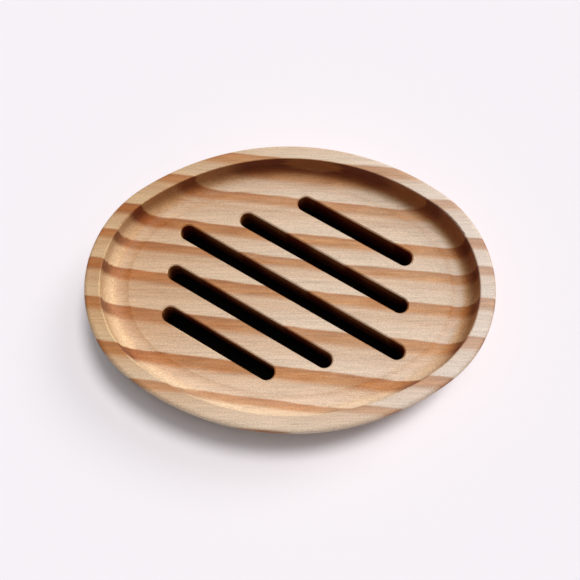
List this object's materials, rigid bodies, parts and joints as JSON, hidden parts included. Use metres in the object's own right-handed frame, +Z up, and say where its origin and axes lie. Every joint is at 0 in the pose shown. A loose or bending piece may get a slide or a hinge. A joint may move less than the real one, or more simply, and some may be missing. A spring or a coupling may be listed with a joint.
{
  "type": "soap dish",
  "caption": "Oval wooden soap dish milled from one pine board, with a coved recess, slanting slots that let water drain, and rubber feet glued into its underside.",
  "frame": {"origin": "centre of the dish on the surface that its feet stand on", "axes": "+X along the dish's length, +Y across it towards the back, +Z up; the slots run from back left to front right"},
  "size_m": [0.13, 0.095, 0.02],
  "materials": {
    "pine": "sanded and lightly oiled, growth rings along the dish's length",
    "rubber": "matt moulded"
  },
  "bodies": {
    "root": {"dish": "pine", "foot_right": "rubber", "foot_front": "rubber", "foot_left": "rubber", "foot_back": "rubber"}
  },
  "joints": []
}
